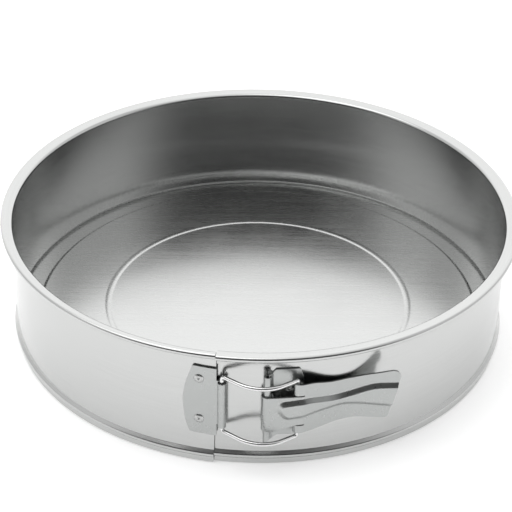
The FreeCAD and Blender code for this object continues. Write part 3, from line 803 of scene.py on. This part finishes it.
def hinge_piece():
    """Hinge bracket: its plate, a window beside the tube for the lever's barrel, and the tapered tube."""
    trace = hinge_trace()
    curl = trace.marks[-2]
    stop = trace.length
    tube_low, tube_high = HINGE_TUBE_Z
    low, high = HINGE_PLATE_Z
    neck = HINGE[0] + HINGE_TUBE_RADIUS

    def plate(x, z):
        return float(trace.where(x, 0, curl)), z

    def turned(degrees, z):
        return curl + math.radians(degrees) * HINGE_CURL, z

    # a slanting cut, straight as seen from the front, from the taper's top down to the tube's foot
    taper = []
    for z in np.linspace(HINGE_TAPER_TOP - 1.0, tube_low, 9):
        x = HINGE[0] - 0.3 + (z - tube_low + 1) / (HINGE_TAPER_TOP - tube_low + 1) * (neck + 1.3 - HINGE[0])
        share = np.clip((x - HINGE[0]) / HINGE_CURL, -1, 1)
        if share < 0.999:
            taper.append(turned(180 + math.degrees(math.asin(share)), z))
    outline = [plate(neck, tube_low), plate(neck + 3, low), plate(21.2, low), plate(22.9, low + 5),
               plate(22.9, high - 6), plate(21.0, high), plate(neck + 2.2, high),
               plate(neck + 0.5, tube_high), (stop, tube_high), (stop, taper[0][1] + 0.4)] + taper
    outline = rounded(outline, {1: 1.0, 2: 1.5, 3: 3, 4: 3, 5: 1.5, 6: 1.0, 7: 0.5})
    window = [plate(neck + HINGE_WINDOW_WIDTH, HINGE_WINDOW_Z[0]), (curl - 0.1, HINGE_WINDOW_Z[0]),
              (curl - 0.1, HINGE_WINDOW_Z[1]), plate(neck + HINGE_WINDOW_WIDTH, HINGE_WINDOW_Z[1])]
    window = rounded(window, {0: 0.8, 3: 0.8})
    runs = np.concatenate([np.arange(0.4, trace.marks[1], 1.0), np.arange(trace.marks[1], curl, 0.3),
                           np.arange(curl, stop, 0.2)])
    return pressed_sheet("hinge_plate", bent(trace, 1), outline, BRACKET_THICKNESS,
                         (runs, np.arange(tube_low + 0.4, tube_high, 0.8)), holes=[window], gap=0.3)


fit_out(hinge_piece(), ZINC, ["hinge_bracket"], "right_arc")
fit_out(rivet_heads("hinge_rivet_heads", ORIGIN, HINGE_RIVET_AZIMUTH, HINGE_RIVET_Z,
                    INNER_RADIUS + BAND_THICKNESS + PLATE_GAP + BRACKET_THICKNESS, INNER_RADIUS, True),
        RIVET, ["hinge_rivets"], "right_arc")

# ---------------------------------------------------------------- lever


def lever_piece():
    """Clamp lever: barrel round the hinge tube, strip, two ears round the bail's ends, and the handle."""
    across = math.hypot(EAR[0] - HINGE[0], EAR[1] - HINGE[1])
    slope = math.degrees(math.atan2(EAR[1] - HINGE[1], EAR[0] - HINGE[0]))
    heading = slope + math.degrees(math.asin((LEVER_CURL - EAR_CURL) / across))
    start = np.array(HINGE) + direction(heading - 90) * LEVER_CURL
    ear_run = math.sqrt(across ** 2 - (LEVER_CURL - EAR_CURL) ** 2)
    main = Trace(start, heading, [
        ("line", ear_run + 0.6), ("arc", LEVER_KNEE_RADIUS, LEVER_KNEE_TURN), ("line", LEVER_SLOPE_LENGTH),
        ("arc", LEVER_SWEEP_RADIUS, -LEVER_SWEEP_TURN), ("line", LEVER_TIP_LENGTH),
    ])
    barrel = Trace(start, heading + 180, [("arc", LEVER_CURL, -CURL_TURN)])
    ear = Trace(np.array(EAR) + direction(heading - 90) * EAR_CURL, heading + 180,
                [("arc", EAR_CURL, -CURL_TURN)])
    # the lower ear leans away from the strip in the flat, and is set upright again
    lean, lean_line = 0.45, 0.385
    middle_slit = (EAR_LOWER_Z[1] + SLIT_WIDTH / 2, EAR_UPPER_Z[0] - SLIT_WIDTH / 2)
    strip_low, strip_high = EAR_LOWER_Z[1] + SLIT_WIDTH, EAR_UPPER_Z[0] - SLIT_WIDTH

    def place(flat):
        run, z = flat[:, 0].copy(), flat[:, 1].copy()
        point, normal = main.at(np.maximum(run, 0))
        rolled = run < 0
        p, n = barrel.at(-run)
        point[rolled], normal[rolled] = p[rolled], -n[rolled]
        before = np.maximum(ear_run - run, 0)
        upper = (before > 0) & (z > middle_slit[1])
        lower = (before > 0) & (z < middle_slit[0] - lean_line * before)
        p, n = ear.at(before)
        for tab in (upper, lower):
            point[tab], normal[tab] = p[tab], -n[tab]
        z[lower] += lean * before[lower]
        return np.column_stack([point, z]), np.column_stack([-normal, np.zeros(len(run))])

    def flat_run(x):
        return main.where(x, 0, main.length)

    handle = rounded(HANDLE_OUTLINE, HANDLE_CORNERS, closed=False)
    handle = spaced(handle, 0.5, closed=False)
    handle[:, 0] = flat_run(handle[:, 0])
    tab = ear_run - ear.length
    drop = lean * ear.length
    slit = ear_run + SLIT_REACH
    low, high = LEVER_BARREL_Z
    rest = [
        (tab, EAR_UPPER_Z[1]), (tab, EAR_UPPER_Z[0]), (slit, EAR_UPPER_Z[0]), (slit, strip_high),
        (ear_run, strip_high), (3.5, high), (-barrel.length, high), (-barrel.length, low),
        (3.5, low), (ear_run, strip_low), (slit, strip_low), (slit, EAR_LOWER_Z[1]),
        (ear_run, EAR_LOWER_Z[1]), (tab, EAR_LOWER_Z[1] - drop), (tab, EAR_LOWER_Z[0] - drop),
    ]
    outline = np.vstack([handle, rest])

    panel = spaced(rounded(PANEL_OUTLINE, PANEL_CORNERS), 0.8)
    past = panel[:, 0] > main.x[-1]
    panel_run = flat_run(panel[:, 0])
    panel_run[past] = main.length + (panel[past, 0] - main.x[-1])
    panel = np.column_stack([panel_run, panel[:, 1]])

    def lift(flat):
        """The panel's relief: a straight flank, softened at its foot and at its top."""
        soft = 0.16
        depth = np.where(inside(flat, panel), distance(flat, panel), 0.0) / PANEL_FLANK
        depth = np.clip(depth, 0, 1)
        ramp = np.where(depth < soft, depth ** 2 / (2 * soft), depth - soft / 2)
        late = depth > 1 - soft
        ramp = np.where(late, 1 - soft - (1 - depth) ** 2 / (2 * soft), ramp)
        return PANEL_RAISE * ramp / (1 - soft)

    step = 0.42
    runs = np.concatenate([np.arange(-barrel.length + 0.2, 0, 0.3), np.arange(0.0, main.length, step)])
    return pressed_sheet("lever_pressing", place, outline, PLATE_THICKNESS,
                         (runs, np.arange(18.2, 54.0, step)), lift=lift, gap=0.3)


fit_out(lever_piece(), ZINC, ["clamp_lever"], "lever")

# ---------------------------------------------------------------- bail


def bail_piece():
    """Wire from the catch barrel's top along a bowed arm, down through the ears, and back along the other."""
    pivot, ear = catch_pivot(), np.array(EAR)
    chord = ear - pivot
    length = np.linalg.norm(chord)
    side = np.array([chord[1], -chord[0]]) / length
    corner = pivot + BAIL_BOW_PLACE * chord + BAIL_BOW * side
    lower, upper = [
        [(*pivot, catch_z), (*corner, catch_z + BAIL_BOW_PLACE * (ear_z - catch_z)), (*ear, ear_z)]
        for ear_z, catch_z in zip(BAIL_EAR_Z, BAIL_CATCH_Z)
    ]
    points = [(*pivot, CATCH_BARREL_Z[1] + 0.02), *upper, *reversed(lower),
              (*pivot, CATCH_BARREL_Z[0] - 0.02)]
    points = [np.array(p) for p in points]
    radii = [BAIL_BEND, BAIL_BOW_RADIUS, BAIL_EAR_BEND, BAIL_EAR_BEND, BAIL_BOW_RADIUS, BAIL_BEND]
    path = [points[0]]
    for i, radius in enumerate(radii, 1):
        here = points[i]
        back, ahead = points[i - 1] - here, points[i + 1] - here
        back, ahead = back / np.linalg.norm(back), ahead / np.linalg.norm(ahead)
        half = math.acos(np.clip(back @ ahead, -1, 1)) / 2
        centre = here + (back + ahead) / np.linalg.norm(back + ahead) * radius / math.sin(half)
        first = here + back * radius / math.tan(half) - centre
        last = here + ahead * radius / math.tan(half) - centre
        sweep = math.pi - 2 * half
        steps = math.ceil(sweep / 0.1)
        for k in range(steps + 1):
            t = k / steps
            out = math.sin((1 - t) * sweep) * first + math.sin(t * sweep) * last
            path.append(centre + out / math.sin(sweep))
    path.append(points[-1])
    dense = [path[0]]
    for a, b in zip(path, path[1:]):
        steps = max(1, math.ceil(np.linalg.norm(b - a) / 1.2))
        dense += [a + (b - a) * (k + 1) / steps for k in range(steps)]
    rings, faces, flat = tube(dense, WIRE_RADIUS)
    return make_piece("bail", rings, faces, flat=flat)


fit_out(bail_piece(), WIRE, ["bail_wire"], "bail")
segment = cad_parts["bail_pivot_segment"]
segment.data.materials.clear()
segment.data.materials.append(WIRE)

# ---------------------------------------------------------------- floor, light, camera

FLOOR_HALF = 6.0
FLOOR_GLOW = 0.42
floor_mesh = bpy.data.meshes.new("floor")
floor_mesh.from_pydata([(-FLOOR_HALF, -FLOOR_HALF, 0), (FLOOR_HALF, -FLOOR_HALF, 0),
                        (FLOOR_HALF, FLOOR_HALF, 0), (-FLOOR_HALF, FLOOR_HALF, 0)], [], [(0, 1, 2, 3)])
floor = bpy.data.objects.new("floor", floor_mesh)
floor.location.z = -0.0002
bpy.context.scene.collection.objects.link(floor)
paper = bpy.data.materials.new("white_paper")
paper.use_nodes = True
add, _ = node_chain(paper.node_tree)
shader = paper.node_tree.nodes["Principled BSDF"]
shader.inputs["Roughness"].default_value = 0.9
shader.inputs["Specular IOR Level"].default_value = 0.1
mottle = add("ShaderNodeTexNoise", in_Scale=3.0, in_Detail=2.0)
tint = add("ShaderNodeValToRGB")
tint.color_ramp.elements[0].color = (0.925, 0.925, 0.925, 1)
tint.color_ramp.elements[1].color = (0.945, 0.945, 0.945, 1)
link = paper.node_tree.links.new
link(add("ShaderNodeTexCoord").outputs["Object"], mottle.inputs["Vector"])
link(mottle.outputs[0], tint.inputs[0])
link(tint.outputs[0], shader.inputs["Base Color"])
link(tint.outputs[0], shader.inputs["Emission Color"])
shader.inputs["Emission Strength"].default_value = FLOOR_GLOW
floor_mesh.materials.append(paper)

# White studio room: darker behind the camera, brighter at the far side and overhead.
# Each part is the direction of its middle, the angles from it where it starts and is full, and its light.
ROOM_LIGHT = 1.10
CAMERA_SIDE = ((0.0, -math.cos(math.radians(6)), math.sin(math.radians(6))), (76, 40), -1.00)
FAR_SIDE = ((0.0, math.cos(math.radians(20)), math.sin(math.radians(20))), (62, 26), 0.80)
OVERHEAD = ((0.0, 0.0, 1.0), (32, 14), 0.35)
world = bpy.context.scene.world or bpy.data.worlds.new("studio")
bpy.context.scene.world = world
world.use_nodes = True
tree = world.node_tree
tree.nodes.clear()
add, calc = node_chain(tree)
sky = add("ShaderNodeBackground")
tree.links.new(sky.outputs[0], add("ShaderNodeOutputWorld").inputs[0])
facing = add("ShaderNodeTexCoord").outputs["Generated"]
strength = ROOM_LIGHT
for middle, edges, light in (CAMERA_SIDE, FAR_SIDE, OVERHEAD):
    towards = add("ShaderNodeVectorMath", operation="DOT_PRODUCT")
    tree.links.new(facing, towards.inputs[0])
    towards.inputs[1].default_value = middle
    fade = add("ShaderNodeMapRange", interpolation_type="SMOOTHSTEP")
    tree.links.new(towards.outputs["Value"], fade.inputs["Value"])
    fade.inputs["From Min"].default_value = math.cos(math.radians(edges[0]))
    fade.inputs["From Max"].default_value = math.cos(math.radians(edges[1]))
    fade.inputs["To Min"].default_value, fade.inputs["To Max"].default_value = 0.0, light
    strength = calc("ADD", fade.outputs["Result"], strength)
tree.links.new(strength, sky.inputs["Strength"])


def softbox(name, place, aim, size, watts):
    light = bpy.data.lights.new(name, "AREA")
    light.shape, light.size, light.size_y, light.energy = "RECTANGLE", *size, watts
    lamp = bpy.data.objects.new(name, light)
    lamp.location = place
    lamp.rotation_mode = "QUATERNION"
    lamp.rotation_quaternion = (Vector(aim) - Vector(place)).to_track_quat("-Z", "Y")
    bpy.context.scene.collection.objects.link(lamp)


softbox("key_light", (-0.5, -0.2, 1.4), (0.0, 0.0, 0.0), (1.2, 1.2), 6.0)

# Camera: the view is tilted a little, and the picture's middle is slightly off the lens axis.
# Focal length and sensor are in millimetres, and the shift is a share of the picture's width.
TARGET = Vector((2.16, 0.0, 35.86)) * MM
DISTANCE, ELEVATION, ROLL = 0.9192, math.radians(32.69), math.radians(1.12)
FOCAL_LENGTH, SENSOR, SHIFT = 119.53125, 36.0, -0.01328125
forward = Vector((0, math.cos(ELEVATION), -math.sin(ELEVATION)))
level_right, level_up = Vector((1, 0, 0)), Vector((0, math.sin(ELEVATION), math.cos(ELEVATION)))
cam_right = level_right * math.cos(ROLL) + level_up * math.sin(ROLL)
cam_up = level_up * math.cos(ROLL) - level_right * math.sin(ROLL)
lens = bpy.data.cameras.new("camera")
lens.sensor_width, lens.lens, lens.shift_x = SENSOR, FOCAL_LENGTH, SHIFT
camera = bpy.data.objects.new("camera", lens)
turn = Matrix((cam_right, cam_up, -forward)).transposed().to_4x4()
camera.matrix_world = Matrix.Translation(TARGET - forward * DISTANCE) @ turn
bpy.context.scene.collection.objects.link(camera)
bpy.context.scene.camera = camera

view = bpy.context.scene.view_settings
view.view_transform, view.look, view.exposure, view.gamma = "Standard", "None", 0.0, 1.0
